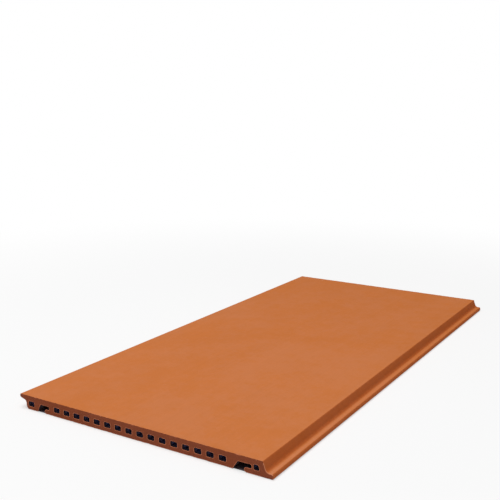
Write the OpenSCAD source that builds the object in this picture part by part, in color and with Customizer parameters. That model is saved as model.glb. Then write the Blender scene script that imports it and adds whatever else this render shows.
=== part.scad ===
// Terracotta wall cladding tile: one extruded and fired clay section, cut to length.
// It lies face up with its length along Y. On the wall the drip lip is the lower edge
// and the upstand the upper one, and the tile hangs on hooks in its two back grooves.

/* [Tile] */
// Length along the extrusion
tile_length = 846; // [300:1:1200]
// Width of the face, from the drip nose to the upper arris
face_width = 395.5; // [250:0.5:600]
// Thickness from the back to the face
thickness = 20; // [18:0.5:30]
// Radius of the two long arrises of the face
arris_radius = 1.6; // [0.5:0.1:2.5]

/* [Drip lip] */
// Thickness of the lip at its nose
drip_thickness = 5.3; // [5:0.1:8]
// How far the nose stands out past the inner corner of the rebate below it
drip_reach = 10.5; // [8:0.1:16]
// Fall of the underside from the nose to the inner corner of the rebate
drip_fall = 2.4; // [0.5:0.1:3]
// Radius under the nose
drip_nose_radius = 2.4; // [1:0.1:2.5]
// Lean of the rebate's wall from upright, in degrees
rebate_lean = 13; // [5:1:20]
// Radius of the cove in the rebate
rebate_cove_radius = 4; // [1:0.1:5]
// Radius of the heel between the rebate and the back
heel_radius = 4.5; // [1:0.1:5]

/* [Upstand] */
// Thickness of the upstand behind the next tile's drip lip
upstand_thickness = 6.6; // [6:0.1:9]
// How far the upstand stands out past the upper arris
upstand_reach = 14; // [13:0.1:20]
// Lean of the wall between the arris and the upstand, in degrees from upright
upstand_lean = 20; // [10:1:26]
// Radius of the cove at the foot of that wall
upstand_cove_radius = 6; // [3:0.1:7]
// Radius of the upstand's nose
upstand_nose_radius = 2.5; // [1:0.1:3]
// Radius of the upstand's edge on the back
upstand_back_radius = 1.5; // [0.5:0.1:2.5]

/* [Hanging grooves] */
// Depth of both grooves from the back
groove_depth = 11.4; // [11.3:0.1:14]
// Thickness of the clay hook beside each groove's mouth
hook_thickness = 6.9; // [6:0.1:6.9]
// Radius of the nose of each hook
hook_nose_radius = 3; // [1:0.1:3]
// Radius of the round end of each undercut
undercut_radius = 2.2; // [1:0.1:2.2]
// Radius between the sloping wall and the roof of each groove
roof_radius = 1.5; // [0.5:0.1:2.5]
// Radius of the edge where the sloping wall meets the back
mouth_radius = 1; // [0.5:0.1:2]
// From the drip nose to the lower groove's mouth
lower_groove_inset = 33.6; // [30:0.1:50]
// Width of the lower groove's mouth on the back
lower_mouth_width = 13.2; // [11:0.1:16]
// Lean of the lower groove's sloping wall from upright, in degrees
lower_groove_lean = 26; // [10:1:30]
// Undercut of the lower groove behind its hook
lower_undercut = 8.7; // [7:0.1:12]
// From the upper arris to the end of the upper groove's undercut
upper_groove_inset = 15.3; // [13:0.1:30]
// Width of the upper groove's mouth on the back
upper_mouth_width = 16; // [12:0.1:18]
// Lean of the upper groove's sloping wall from upright, in degrees
upper_groove_lean = 33; // [10:1:36]
// Undercut of the upper groove behind its hook
upper_undercut = 10; // [7:0.1:13]

/* [Cells] */
// Clay between the cells and the face
face_wall = 7.2; // [5:0.1:9]
// Clay between the cells and the back
back_wall = 6.1; // [4:0.1:8]
// Width of one cell
cell_width = 10.3; // [6:0.1:14]
// Least web of clay between two cells
least_web = 7.5; // [4:0.1:12]
// Radius in the corners of the cells
cell_radius = 1.6; // [0.5:0.1:2]
// Web between the lower groove and the first cell
lower_web = 9.2; // [5:0.1:15]
// Web between the last cell and the upper groove's mouth
upper_web = 9.2; // [5:0.1:15]
// From the foot of the rebate's wall to the heel cell
heel_web = 3.3; // [2:0.1:5]
// How much nearer to the back the heel cell lies than the row
heel_cell_drop = 0.9; // [0:0.1:2]
// Web between the upper groove and the cell under the upper arris
arris_web = 3; // [2.5:0.1:5]
// Width of the cell under the upper arris, at its top
arris_cell_width = 6; // [5:0.1:8]
// How much nearer to the face the cell under the upper arris lies than the row
arris_cell_lift = 0.4; // [0:0.1:1]
// Radius in the corners of the cell under the upper arris
arris_cell_radius = 2.2; // [0.5:0.1:2.4]

/* [Hidden] */
$fn = 48;

// Places across the section are measured from the drip nose, heights from the back.
overall_width = face_width + upstand_reach;
rebate_height = thickness - drip_thickness - drip_fall;
heel_foot = drip_reach + rebate_height * tan(rebate_lean);
cove_corner = face_width + (thickness - upstand_thickness) * tan(upstand_lean);
lower_hook = lower_groove_inset + lower_mouth_width;
lower_groove_end = lower_hook + lower_undercut;
upper_groove_end = face_width - upper_groove_inset;
upper_hook = upper_groove_end - upper_undercut;
upper_mouth = upper_hook - upper_mouth_width;

// The row of like cells fills the clay between the two grooves.
cell_height = thickness - face_wall - back_wall;
row_start = lower_groove_end + lower_web;
row_width = upper_mouth - upper_web - row_start;
cell_count = floor((row_width + least_web) / (cell_width + least_web));
cell_pitch = (row_width - cell_width) / (cell_count - 1);

// A corner is [x, z, radius]. The corners of an outline run anticlockwise.
function place(corner) = [corner[0], corner[1]];
function unit(v) = v / norm(v);
function back_along(c, i) = unit(place(c[(i + len(c) - 1) % len(c)]) - place(c[i]));
function on_along(c, i) = unit(place(c[(i + 1) % len(c)]) - place(c[i]));
function half_angle(c, i) = acos(back_along(c, i) * on_along(c, i)) / 2;
function setback(c, i) = c[i][2] / tan(half_angle(c, i));
function bulges(c, i) = cross(on_along(c, i), back_along(c, i)) > 0;
function arc_centre(c, i) =
    place(c[i]) + unit(back_along(c, i) + on_along(c, i)) * c[i][2] / sin(half_angle(c, i));

// Outline whose corners are true arcs: the straight sides run between the ends of the
// arcs, discs fill the corners that bulge and cut the hollow ones. The discs are larger
// by a hair, so that each arc crosses its sides cleanly and leaves no sliver there.
module rounded_outline(corners) {
    last = len(corners) - 1;
    lap = 0.002;
    difference() {
        union() {
            polygon([
                for (i = [0 : last])
                    each [
                        place(corners[i]) + back_along(corners, i) * setback(corners, i),
                        place(corners[i]) + on_along(corners, i) * setback(corners, i)
                    ]
            ]);
            for (i = [0 : last])
                if (bulges(corners, i))
                    translate(arc_centre(corners, i)) circle(corners[i][2] + lap);
        }
        for (i = [0 : last])
            if (!bulges(corners, i))
                translate(arc_centre(corners, i)) circle(corners[i][2] + lap);
    }
}

// Undercut hanging groove, from its mouth to the foot of its hook
function groove(mouth, hook, end, lean) = [
    [mouth, 0, mouth_radius],
    [mouth + groove_depth * tan(lean), groove_depth, roof_radius],
    [end, groove_depth, undercut_radius],
    [end, hook_thickness, undercut_radius],
    [hook, hook_thickness, hook_nose_radius],
    [hook, 0, hook_nose_radius]
];

// Outside of the section, along the back from the heel and round over the face
module section_outline() {
    heel = [[heel_foot, 0, heel_radius]];
    upstand = [
        [overall_width, 0, upstand_back_radius],
        [overall_width, upstand_thickness, upstand_nose_radius],
        [cove_corner, upstand_thickness, upstand_cove_radius]
    ];
    face = [
        [face_width, thickness, arris_radius],
        [0, thickness, arris_radius],
        [0, thickness - drip_thickness, drip_nose_radius]
    ];
    rebate = [[drip_reach, rebate_height, rebate_cove_radius]];
    rounded_outline(concat(
        heel,
        groove(lower_groove_inset, lower_hook, lower_groove_end, lower_groove_lean),
        groove(upper_mouth, upper_hook, upper_groove_end, upper_groove_lean),
        upstand,
        face,
        rebate
    ));
}

// Hollow cell from its near lower corner; its far wall may lean out.
module cell(start, floor, width, lean, radius) {
    rounded_outline([
        [start, floor, radius],
        [start + width + cell_height * tan(lean), floor, radius],
        [start + width, floor + cell_height, radius],
        [start, floor + cell_height, radius]
    ]);
}

module cells() {
    cell(heel_foot + heel_web, back_wall - heel_cell_drop, cell_width, 0, cell_radius);
    for (i = [0 : cell_count - 1])
        cell(row_start + i * cell_pitch, back_wall, cell_width, 0, cell_radius);
    cell(
        upper_groove_end + arris_web, back_wall + arris_cell_lift,
        arris_cell_width, upstand_lean, arris_cell_radius
    );
}

module cladding_tile() {
    color("#c67745")
        rotate([90, 0, 0])
            linear_extrude(height = tile_length, center = true)
                translate([-overall_width / 2, 0])
                    difference() {
                        section_outline();
                        cells();
                    }
}

cladding_tile();
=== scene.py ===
import math

import bmesh
import bpy
from mathutils import Euler, Matrix, Vector


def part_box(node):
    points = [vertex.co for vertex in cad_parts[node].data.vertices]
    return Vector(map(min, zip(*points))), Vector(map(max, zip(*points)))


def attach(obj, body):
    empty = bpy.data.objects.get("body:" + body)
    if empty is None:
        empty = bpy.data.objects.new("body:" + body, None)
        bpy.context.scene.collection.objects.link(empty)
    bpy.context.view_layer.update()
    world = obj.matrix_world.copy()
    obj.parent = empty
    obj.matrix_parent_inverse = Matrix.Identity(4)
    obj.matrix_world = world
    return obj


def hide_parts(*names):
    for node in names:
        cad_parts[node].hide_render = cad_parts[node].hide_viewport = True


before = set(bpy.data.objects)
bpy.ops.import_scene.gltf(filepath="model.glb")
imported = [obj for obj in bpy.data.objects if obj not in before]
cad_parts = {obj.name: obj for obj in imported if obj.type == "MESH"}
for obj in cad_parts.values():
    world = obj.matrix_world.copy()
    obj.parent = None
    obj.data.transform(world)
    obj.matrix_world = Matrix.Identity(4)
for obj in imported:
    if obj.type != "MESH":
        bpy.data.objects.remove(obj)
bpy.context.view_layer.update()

# The clay tile
# One length of terracotta, pushed through a die as a hollow section, cut across with a wire and fired.
# It starts as the exact section, and its two cut ends get the rims that handling has softened and chipped.
tile_low, tile_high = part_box("cladding_tile")
half_length = (tile_high.y - tile_low.y) / 2

tile = bpy.data.objects.new("clay_tile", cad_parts["cladding_tile"].data.copy())
bpy.context.collection.objects.link(tile)
bpy.ops.object.select_all(action="DESELECT")
tile.select_set(True)
bpy.context.view_layer.objects.active = tile
tile.data.materials.clear()


def select_faces(wanted):
    """Selects the faces of the tile that the test wants, and nothing else."""
    bpy.ops.mesh.select_mode(type="FACE")
    bpy.ops.mesh.select_all(action="DESELECT")
    for face in bmesh.from_edit_mesh(tile.data).faces:
        face.select_set(wanted(face))
    bmesh.update_edit_mesh(tile.data)


def select_edges(wanted):
    """Selects the edges of the tile that the test wants, and nothing else."""
    bpy.ops.mesh.select_mode(type="EDGE")
    bpy.ops.mesh.select_all(action="DESELECT")
    for edge in bmesh.from_edit_mesh(tile.data).edges:
        edge.select_set(wanted(edge))
    bmesh.update_edit_mesh(tile.data)


# The cut ends are taken off, the skin is merged and cleaned, and bands beside the ends are marked out.
merge_gap = 1e-6
flat_angle = 0.5
square_to_end = 0.99
worn_band = 0.0009
skin_band = 0.003


def is_cut(face):
    """True for a face of one of the two cut ends."""
    return abs(face.normal.y) > square_to_end


bpy.ops.object.mode_set(mode="EDIT")
bpy.ops.mesh.select_all(action="SELECT")
bpy.ops.mesh.remove_doubles(threshold=merge_gap)
bpy.ops.mesh.customdata_custom_splitnormals_clear()
select_faces(is_cut)
bpy.ops.mesh.delete(type="FACE")
bpy.ops.mesh.select_all(action="SELECT")
bpy.ops.mesh.dissolve_limited(angle_limit=math.radians(flat_angle))
for band in (worn_band, skin_band):
    for end in (-1, 1):
        bpy.ops.mesh.select_all(action="SELECT")
        bpy.ops.mesh.bisect(plane_co=(0, end * (half_length - band), 0), plane_no=(0, 1, 0))

# The worn band is divided evenly all round, so that bites, wear and painted highlight have points to lie
# on.
rim_spacing = 0.0014
hair = 1e-5


def runs_across(edge):
    """True for an edge in the band beside an end that runs along the rim."""
    near, far = edge.verts
    return half_length - abs(near.co.y) < worn_band + hair and abs(near.co.y - far.co.y) < hair


def rim_steps(edge):
    """How many steps an edge of the rim is divided into."""
    return round(edge.calc_length() / rim_spacing)


around = [rim_steps(edge) for edge in bmesh.from_edit_mesh(tile.data).edges if runs_across(edge)]
for steps in sorted(set(around) - {0, 1}, reverse=True):
    select_edges(lambda edge: runs_across(edge) and rim_steps(edge) == steps)
    bpy.ops.mesh.subdivide(number_cuts=steps - 1)

# Each cut end is filled afresh, because its loose triangles from the CAD model don't inset cleanly.
rim_width = 0.00038


def is_open(edge):
    """True for an edge with a face on one side only."""
    return len(edge.link_faces) == 1


def is_rim(edge):
    """True for an edge between a cut end and the drawn skin."""
    return sum(is_cut(face) for face in edge.link_faces) == 1


for end in (-1, 1):
    select_edges(lambda edge: is_open(edge) and edge.verts[0].co.y * end > 0)
    bpy.ops.mesh.fill()
select_faces(is_cut)
bpy.ops.mesh.inset(thickness=worn_band, use_boundary=True, use_even_offset=True)
select_edges(is_rim)
bpy.ops.mesh.bevel(offset=rim_width, segments=2, profile=0.5, clamp_overlap=False)
bpy.ops.object.vertex_group_assign_new()
tile.vertex_groups[-1].name = "rims"

# Three finishes of the one clay: the drawn skin, the openings with their rims painted dark as shade, and
# the cut ends.
skin_slot, painted_shade_slot, cut_slot = range(3)
drip_margin = 0.0162
upstand_margin = 0.0165
face_margin = 0.005
back_margin = 5e-5
heel_reach = 0.019
heel_height = 0.005
opening_turn = 0.97
outer_turn = 0.9


def is_inside(spot):
    """True for a place inside a cell or a hanging groove, its rim included."""
    within = tile_low.x + drip_margin < spot.x < tile_high.x - upstand_margin
    between = tile_low.z + back_margin < spot.z < tile_high.z - face_margin
    below_heel = spot.x < tile_low.x + heel_reach and spot.z < heel_height
    return within and between and not below_heel


def is_hidden(face):
    """True for a face inside a cell or a hanging groove."""
    return is_inside(face.calc_center_median())


def on_end(face):
    """True for a face of a cut end: up to its outer rims, and short of the rims of its openings."""
    return abs(face.normal.y) > (opening_turn if is_hidden(face) else outer_turn)


for slot in (skin_slot, painted_shade_slot, cut_slot):
    bpy.ops.object.material_slot_add()
# The insides of the cells and grooves get the painted shade.
select_faces(is_hidden)
tile.active_material_index = painted_shade_slot
bpy.ops.object.material_slot_assign()
select_faces(on_end)
tile.active_material_index = cut_slot
bpy.ops.object.material_slot_assign()
bpy.ops.object.mode_set(mode="OBJECT")

# Knocks take a scatter of small bites out of the rims.
whole = [vertex.co.copy() for vertex in tile.data.vertices]
bite_depth = 0.0004
bite_spacing = 0.0045
bite_start = 0.52
bite_full = 0.78
bites = bpy.data.textures.new("rim_bites", "CLOUDS")
bites.noise_scale = bite_spacing
bites.noise_depth = 1
bites.use_color_ramp = True
bites.color_ramp.elements[0].position = bite_start
bites.color_ramp.elements[0].color = (0, 0, 0, 1)
bites.color_ramp.elements[1].position = bite_full
bites.color_ramp.elements[1].color = (1, 1, 1, 1)
knock = tile.modifiers.new("rim_bites", "DISPLACE")
knock.texture = bites
knock.texture_coords = "LOCAL"
knock.vertex_group = "rims"
knock.direction = "NORMAL"
knock.mid_level = 0
knock.strength = -bite_depth
bpy.ops.object.modifier_apply(modifier=knock.name)

# A few slight nicks lie along the near arris of the face.
nick_places = (-0.1665, -0.0565, -0.0275, -0.0025, 0.0485, 0.1075, 0.1385)
nick_reach = 0.0015
nick_depth = 0.0002
for nick in nick_places:
    bpy.ops.object.mode_set(mode="EDIT")
    bpy.ops.mesh.select_mode(type="VERT")
    bpy.ops.mesh.select_all(action="DESELECT")
    middle = Vector((nick, -half_length, tile_high.z))
    for vertex in bmesh.from_edit_mesh(tile.data).verts:
        vertex.select_set((vertex.co - middle).length < rim_spacing / 2)
    bmesh.update_edit_mesh(tile.data)
    bpy.ops.transform.translate(
        value=(0, nick_depth, -nick_depth),
        use_proportional_edit=True,
        proportional_edit_falloff="SPHERE",
        proportional_size=nick_reach,
        use_proportional_connected=True,
    )
    bpy.ops.object.mode_set(mode="OBJECT")

# The wear and painted highlight are kept on the mesh: how far each place is rubbed or bitten by handling,
# and how much highlight is painted on the rims and on the upstand's ledge.
opening_wear_and_highlight = 1.9
upstand_wear_and_highlight = 0.6
outer_rub = 0.1
bite_wear = 0.45
upstand_width = 0.0135
upstand_rim_low = 0.005
upstand_rim_high = 0.019
ledge_width = 0.006
ledge_height = 0.0066
ledge_play = 0.0002
ledge_highlight_strength = 0.33
smooth_angle = 30


def rim_wear_and_highlight(spot):
    """How pale a rim is made, partly by rubbing and partly as painted highlight: most round the openings,
    well over the upstand, and hardly elsewhere.
    """
    if is_inside(spot):
        return opening_wear_and_highlight
    if spot.x > tile_high.x - upstand_width and upstand_rim_low < spot.z < upstand_rim_high:
        return upstand_wear_and_highlight
    return outer_rub


def ledge_highlight(spot):
    """How strong the painted highlight is on the ledge on top of the upstand, more towards the near end."""
    on_ledge = spot.x > tile_high.x - ledge_width and abs(spot.z - ledge_height) < ledge_play
    return ledge_highlight_strength * (0.5 - spot.y / (2 * half_length)) if on_ledge else 0


rims = tile.vertex_groups["rims"].index
wear_and_highlight = tile.data.attributes.new("wear_and_highlight", "FLOAT", "POINT")
for vertex in tile.data.vertices:
    on_rim = any(member.group == rims for member in vertex.groups)
    bitten = (vertex.co - whole[vertex.index]).length / bite_depth
    knocked_or_highlit = (rim_wear_and_highlight(vertex.co) + bite_wear * bitten) * on_rim
    wear_and_highlight.data[vertex.index].value = max(knocked_or_highlit, ledge_highlight(vertex.co))
bpy.ops.object.shade_smooth_by_angle(angle=math.radians(smooth_angle))


def add_node(tree, kind, inputs, **options):
    """Adds a shader node, sets its options, and sets or links its inputs."""
    node = tree.nodes.new(kind)
    for option, value in options.items():
        setattr(node, option, value)
    for name, value in inputs.items():
        if isinstance(value, bpy.types.NodeSocket):
            tree.links.new(value, node.inputs[name])
        else:
            node.inputs[name].default_value = value
    return node


def blend(tree, share, first, second, way="MIX"):
    """Mixes two colours by a share."""
    values = {0: share, 6: first, 7: second}
    return add_node(tree, "ShaderNodeMix", values, data_type="RGBA", blend_type=way).outputs[2]


def lighten(tree, shade, light):
    """Makes a colour lighter or darker."""
    return add_node(tree, "ShaderNodeHueSaturation", {"Value": light, "Color": shade}).outputs["Color"]


def spread(tree, value, low, high, to_low, to_high):
    """Stretches the middle of a pattern to a new range, softly at both ends."""
    values = {"Value": value, "From Min": low, "From Max": high, "To Min": to_low, "To Max": to_high}
    return add_node(tree, "ShaderNodeMapRange", values, interpolation_type="SMOOTHSTEP").outputs["Result"]


def sway(tree, pattern, to_low, to_high):
    """Lets a value sway between two limits with a cloudy pattern, most of which lies from 0.3 to 0.7."""
    return spread(tree, pattern, 0.3, 0.7, to_low, to_high)


def reckon(tree, operation, first, second=0):
    """Works out one number from two, or from one."""
    return add_node(tree, "ShaderNodeMath", {0: first, 1: second}, operation=operation).outputs["Value"]


def axes(tree, vector):
    """Takes a place or a direction apart."""
    return add_node(tree, "ShaderNodeSeparateXYZ", {"Vector": vector}).outputs


def noise(tree, place, scale, detail, roughness=0.5):
    """Cloudy pattern, with a scale in clouds to the metre."""
    values = {"Vector": place, "Scale": scale, "Detail": detail, "Roughness": roughness}
    return add_node(tree, "ShaderNodeTexNoise", values).outputs["Fac"]


def specks(tree, place, scale, size, share):
    """Mask of small round grains in some of the cells of a random pattern."""
    grains = add_node(tree, "ShaderNodeTexVoronoi", {"Vector": place, "Scale": scale})
    chosen = add_node(tree, "ShaderNodeSeparateColor", {"Color": grains.outputs["Color"]}).outputs["Red"]
    inside = spread(tree, grains.outputs["Distance"], 0.6 * size, size, 1, 0)
    return reckon(tree, "MULTIPLY", inside, reckon(tree, "LESS_THAN", chosen, share))


def new_group(name, inputs, outputs):
    """Starts a node group with named sockets, and gives it with its two ends."""
    tree = bpy.data.node_groups.new(name, "ShaderNodeTree")
    for socket, kind in inputs.items():
        tree.interface.new_socket(name=socket, in_out="INPUT", socket_type=kind)
    for socket, kind in outputs.items():
        tree.interface.new_socket(name=socket, in_out="OUTPUT", socket_type=kind)
    return tree, tree.nodes.new("NodeGroupInput").outputs, tree.nodes.new("NodeGroupOutput").inputs


# Fired clay: drifts from pink to orange as it lay in the kiln, is cloudy, sandy and speckled with grog, and
# is painted lighter towards the near end and darker towards the far end, as light falling off.
vector, colour, number = "NodeSocketVector", "NodeSocketColor", "NodeSocketFloat"
burnt_grog = (0.16, 0.045, 0.02, 1)
burnt_grog_share = 0.55
pale_grog = (0.72, 0.42, 0.24, 1)
pale_grog_share = 0.5
fired_clay, given, found = new_group(
    "fired_clay",
    {"Place": vector, "Orange": colour, "Pink": colour, "Speckle": number},
    {"Color": colour, "Grain": number},
)
tree = fired_clay
place = given["Place"]
along = axes(tree, place)["Y"]
drift = spread(tree, along, -0.45, 0.45, 0.2, -0.15)
patches = spread(tree, noise(tree, place, 5, 7, 0.9), 0.36, 0.64, 0, 1)
shade = blend(tree, reckon(tree, "ADD", drift, patches), given["Orange"], given["Pink"])
cloud = sway(tree, noise(tree, place, 14, 5, 0.8), 0.985, 1.015)
sand = noise(tree, place, 1100, 3, 0.7)
light = reckon(tree, "MULTIPLY", cloud, sway(tree, sand, 0.95, 1.05))
# Painted light: the clay is made lighter towards the near end and darker towards the far end.
light = reckon(tree, "MULTIPLY", light, spread(tree, along, -0.45, 0.55, 1.035, 0.955))
shade = lighten(tree, shade, light)
burnt = reckon(tree, "MULTIPLY", specks(tree, place, 150, 0.12, 0.35), given["Speckle"])
shade = blend(tree, reckon(tree, "MULTIPLY", burnt, burnt_grog_share), shade, burnt_grog)
pale = reckon(tree, "MULTIPLY", specks(tree, place, 210, 0.11, 0.25), given["Speckle"])
shade = blend(tree, reckon(tree, "MULTIPLY", pale, pale_grog_share), shade, pale_grog)
tree.links.new(shade, found["Color"])
pits = specks(tree, place, 260, 0.2, 0.2)
tree.links.new(reckon(tree, "SUBTRACT", sand, pits), found["Grain"])

# Worn rims: where the skin is rubbed or bitten off, the clay under it is paler and chalky, and the same
# pale colour is also painted on the rims as a highlight.
worn_and_highlit_rim, given, found = new_group(
    "worn_and_highlit_rim",
    {"Place": vector, "Color": colour, "Wear_and_highlight": number, "Chalk_and_highlight": colour},
    {"Color": colour},
)
tree = worn_and_highlit_rim
ragged = spread(tree, noise(tree, given["Place"], 700, 3, 0.6), 0.25, 0.75, 0.5, 1.2)
rubbed_or_highlit = spread(tree, reckon(tree, "MULTIPLY", given["Wear_and_highlight"], ragged), 0.08, 0.7, 0, 1)
tree.links.new(blend(tree, rubbed_or_highlit, given["Color"], given["Chalk_and_highlight"]), found["Color"])


def clay_material(name, slot):
    """Starts a matte clay material in a slot of the tile, and gives its tree, shader and coordinates."""
    material = bpy.data.materials.new(name)
    material.use_nodes = True
    tile.material_slots[slot].material = material
    tree = material.node_tree
    shader = tree.nodes["Principled BSDF"]
    shader.inputs["Specular IOR Level"].default_value = 0.06
    return tree, shader, tree.nodes.new("ShaderNodeTexCoord").outputs["Object"]


def clay_body(tree, place, orange, pink, speckle):
    """Adds the fired clay to a material, between two colours and with a share of grog."""
    values = {"Place": place, "Orange": orange, "Pink": pink, "Speckle": speckle}
    return add_node(tree, "ShaderNodeGroup", values, node_tree=fired_clay).outputs


def rub_and_highlight(tree, place, shade, chalk_and_highlight):
    """Adds the worn rims, with their painted highlight, to a clay material."""
    kept_wear_and_highlight = add_node(tree, "ShaderNodeAttribute", {}, attribute_name="wear_and_highlight").outputs["Fac"]
    values = {"Place": place, "Color": shade, "Wear_and_highlight": kept_wear_and_highlight, "Chalk_and_highlight": chalk_and_highlight}
    return add_node(tree, "ShaderNodeGroup", values, node_tree=worn_and_highlit_rim).outputs["Color"]


def stretched(tree, place, across, along, through):
    """Coordinates for a pattern drawn out along one axis."""
    values = {0: place, 1: (across, along, through)}
    return add_node(tree, "ShaderNodeVectorMath", values, operation="MULTIPLY").outputs["Vector"]


def upward(tree):
    """How far a surface faces up: 1 for a top and 0 for a wall."""
    return axes(tree, tree.nodes.new("ShaderNodeNewGeometry").outputs["Normal"])["Z"]


def emboss(tree, shader, relief, strength, depth):
    """Raises a pattern on the surface."""
    values = {"Strength": strength, "Distance": depth, "Height": relief}
    bump = add_node(tree, "ShaderNodeBump", values)
    tree.links.new(bump.outputs["Normal"], shader.inputs["Normal"])


# Drawn skin: smoothed by the die, with faint lines along the way it was pushed. Its sides are painted
# darker and redder as shade, and only what faces up keeps the clay's own colour.
skin_orange = (0.536, 0.161, 0.0405, 1)
skin_pink = (0.543, 0.178, 0.0622, 1)
skin_chalk_and_highlight = (0.62, 0.28, 0.16, 1)
side_shade_tint = (0.865, 0.665, 0.51, 1)
tree, shader, place = clay_material("drawn_clay", skin_slot)
body = clay_body(tree, place, skin_orange, skin_pink, 0.35)
lines = noise(tree, stretched(tree, place, 420, 1.5, 420), 1, 4, 0.6)
shade = lighten(tree, body["Color"], sway(tree, lines, 0.985, 1.015))
# Painted shade: every side that faces less than upward is darkened and reddened.
side_shade = spread(tree, upward(tree), 0.8, 0.98, 1, 0)
shade = blend(tree, side_shade, shade, side_shade_tint, "MULTIPLY")
tree.links.new(rub_and_highlight(tree, place, shade, skin_chalk_and_highlight), shader.inputs["Base Color"])
tree.links.new(sway(tree, body["Grain"], 0.76, 0.88), shader.inputs["Roughness"])
raised_lines = reckon(tree, "MULTIPLY", lines, 0.6)
raised_grain = reckon(tree, "MULTIPLY", body["Grain"], 0.4)
emboss(tree, shader, reckon(tree, "ADD", raised_lines, raised_grain), 0.35, 0.0002)

# Painted shade: near the ends of the cells and deep in the grooves the clay is painted dark, as shade
# inside the hollows.
# The painted shade is brown at the mouths, bluish grey in the cells and dark grey in the grooves further
# in, darker on what faces up, weaker near the bottom, and fades out towards the middle.
painted_shade_orange = (0.45, 0.104, 0.021, 1)
painted_shade_pink = (0.45, 0.11, 0.028, 1)
mouth_painted_shade = (0.036, 0.021, 0.027, 1)
cell_painted_shade = (0.215, 0.205, 0.39, 1)
groove_painted_shade = (0.092, 0.07, 0.076, 1)
upward_painted_shade = (0, 0, 0, 1)
painted_shade_end = half_length - 0.1
painted_shade_full = half_length - 0.05
mouth_start = half_length - 0.007
mouth_full = half_length - 0.001
groove_place = 0.1625
groove_reach = 0.0145
tree, shader, place = clay_material("painted_shade_clay", painted_shade_slot)
body = clay_body(tree, place, painted_shade_orange, painted_shade_pink, 0.35)
spot = axes(tree, place)
ragged = reckon(tree, "MULTIPLY", noise(tree, place, 60, 3), 0.003)
painted_shade_share = spread(tree, reckon(tree, "ADD", spot["Z"], ragged), 0.0005, 0.004, 0.4, 1)
endward = reckon(tree, "ABSOLUTE", spot["Y"])
painted_shade_share = reckon(tree, "MULTIPLY", painted_shade_share, spread(tree, endward, painted_shade_end, painted_shade_full, 0, 1))
mouth = spread(tree, endward, mouth_start, mouth_full, 0, 1)
sideways = reckon(tree, "SUBTRACT", reckon(tree, "ABSOLUTE", spot["X"]), groove_place)
in_groove = reckon(tree, "LESS_THAN", reckon(tree, "ABSOLUTE", sideways), groove_reach)
painted_shade_colour = blend(tree, mouth, blend(tree, in_groove, cell_painted_shade, groove_painted_shade), mouth_painted_shade)
painted_shade_colour = blend(tree, spread(tree, upward(tree), 0.3, 0.9, 0, 0.4), painted_shade_colour, upward_painted_shade)
tree.links.new(blend(tree, painted_shade_share, body["Color"], painted_shade_colour), shader.inputs["Base Color"])
tree.links.new(sway(tree, body["Grain"], 0.82, 0.94), shader.inputs["Roughness"])
emboss(tree, shader, body["Grain"], 0.3, 0.0002)

# Cut clay: torn open by the wire, so it is rougher, redder and more speckled than the skin, and its colour
# is painted about half as light as the skin's, as shade on the end faces.
shaded_cut_orange = (0.25, 0.0615, 0.0245, 1)
shaded_cut_pink = (0.256, 0.0655, 0.03, 1)
cut_chalk_and_highlight = (0.74, 0.25, 0.12, 1)
tree, shader, place = clay_material("cut_clay", cut_slot)
body = clay_body(tree, place, shaded_cut_orange, shaded_cut_pink, 0.8)
drag = noise(tree, stretched(tree, place, 35, 200, 1000), 1, 4, 0.65)
shade = lighten(tree, body["Color"], sway(tree, drag, 0.94, 1.06))
tree.links.new(rub_and_highlight(tree, place, shade, cut_chalk_and_highlight), shader.inputs["Base Color"])
tree.links.new(sway(tree, body["Grain"], 0.85, 0.95), shader.inputs["Roughness"])
raised_grain = reckon(tree, "MULTIPLY", body["Grain"], 0.7)
emboss(tree, shader, reckon(tree, "ADD", drag, raised_grain), 0.5, 0.0003)

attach(tile, "root")
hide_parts("cladding_tile")

# The studio
# A pale floor with one broad soft lamp overhead and an even sky, as for a product picture.
# To the camera the floor runs out to plain white, and near the tile it keeps the tile's shadow.
floor_size = 60
floor_gap = 0.0004
floor_grey = (0.9, 0.9, 0.9, 1)
shadow_reach = 0.45
white_reach = 1.5
white_near_tile = 0.52
scene = bpy.context.scene
scene.view_settings.view_transform = "Standard"


def seen_directly(tree):
    """1 for what the camera sees, straight or in a gloss or glass, and 0 for light on its way."""
    path = tree.nodes.new("ShaderNodeLightPath").outputs
    mirrored = reckon(tree, "MAXIMUM", path["Is Glossy Ray"], path["Is Transmission Ray"])
    return reckon(tree, "MAXIMUM", path["Is Camera Ray"], mirrored)


bpy.ops.object.select_all(action="DESELECT")
bpy.ops.mesh.primitive_plane_add(size=floor_size, location=(0, 0, tile_low.z - floor_gap))
floor = bpy.context.object
floor.name = "studio_floor"
paper = bpy.data.materials.new("pale_floor")
paper.use_nodes = True
floor.data.materials.append(paper)
tree = paper.node_tree
tree.nodes.clear()
shaded = add_node(tree, "ShaderNodeBsdfDiffuse", {"Color": floor_grey}).outputs[0]
plain_white = add_node(tree, "ShaderNodeEmission", {}).outputs[0]
place = tree.nodes.new("ShaderNodeTexCoord").outputs["Object"]
away = add_node(tree, "ShaderNodeVectorMath", {0: place}, operation="LENGTH").outputs["Value"]
white_share = spread(tree, away, shadow_reach, white_reach, white_near_tile, 1)
white_share = reckon(tree, "MULTIPLY", white_share, seen_directly(tree))
shown = add_node(tree, "ShaderNodeMixShader", {0: white_share, 1: shaded, 2: plain_white}).outputs[0]
add_node(tree, "ShaderNodeOutputMaterial", {"Surface": shown})
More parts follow.
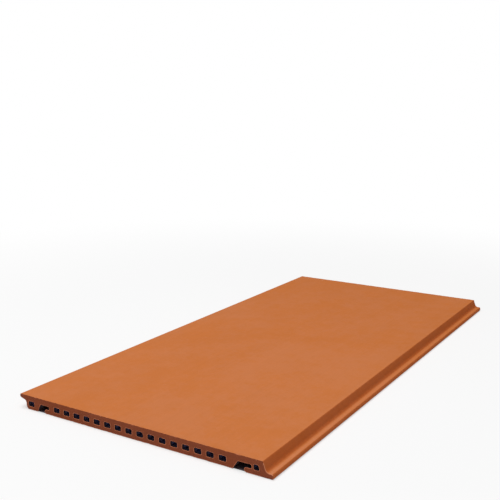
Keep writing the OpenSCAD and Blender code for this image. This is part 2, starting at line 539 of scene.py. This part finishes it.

# A grey sheet lies under the tile as painted shade: seen through the mouths of the grooves it stands in for
# the shaded floor under the tile, and it throws little light up into the grooves.
shade_sheet_gap = 0.0002
shade_sheet_middle = 0.004
shade_sheet_width = 0.38
shade_sheet_length = 0.842
shade_sheet_grey = (0.25, 0.19, 0.21, 1)
bpy.ops.mesh.primitive_plane_add(size=1, location=(shade_sheet_middle, 0, tile_low.z - shade_sheet_gap))
shade_sheet = bpy.context.object
shade_sheet.name = "dark_shade_sheet"
shade_sheet.scale = (shade_sheet_width, shade_sheet_length, 1)
bpy.ops.object.transform_apply(location=True, rotation=False, scale=True)
grey_shade_sheet = bpy.data.materials.new("grey_shade_sheet")
grey_shade_sheet.use_nodes = True
shader = grey_shade_sheet.node_tree.nodes["Principled BSDF"]
shader.inputs["Base Color"].default_value = shade_sheet_grey
shader.inputs["Roughness"].default_value = 1
shader.inputs["Specular IOR Level"].default_value = 0
shade_sheet.data.materials.append(grey_shade_sheet)

sky_light = 0.2
sky_seen = 1
sky = bpy.data.worlds.new("studio_sky")
sky.use_nodes = True
scene.world = sky
tree = sky.node_tree
level = spread(tree, seen_directly(tree), 0, 1, sky_light, sky_seen)
tree.nodes["Background"].inputs["Color"].default_value = (1, 1, 1, 1)
tree.links.new(level, tree.nodes["Background"].inputs["Strength"])

lamp_place = Vector((-0.45, -0.9, 5))
lamp_size = 4
lamp_power = 252
lamp_data = bpy.data.lights.new("overhead_lamp", "AREA")
lamp_data.shape = "SQUARE"
lamp_data.size = lamp_size
lamp_data.energy = lamp_power
lamp = bpy.data.objects.new("overhead_lamp", lamp_data)
lamp.location = lamp_place
lamp.rotation_euler = (-lamp_place).to_track_quat("-Z", "Y").to_euler()
scene.collection.objects.link(lamp)

# The camera
# It stands before the near end, to the right of the tile and a little above it.
camera_place = (0.6228, -1.1614, 0.4413)
camera_lens = 57.65
look_down = 11.4425
look_left = 31.3859
lean_left = 0.233
camera_data = bpy.data.cameras.new("camera")
camera_data.lens = camera_lens
camera = bpy.data.objects.new("camera", camera_data)
turn = Euler((math.radians(90 - look_down), 0, math.radians(look_left))).to_matrix()
tilt = Matrix.Rotation(math.radians(lean_left), 3, "Z")
camera.matrix_world = Matrix.Translation(camera_place) @ (turn @ tilt).to_4x4()
scene.collection.objects.link(camera)
scene.camera = camera
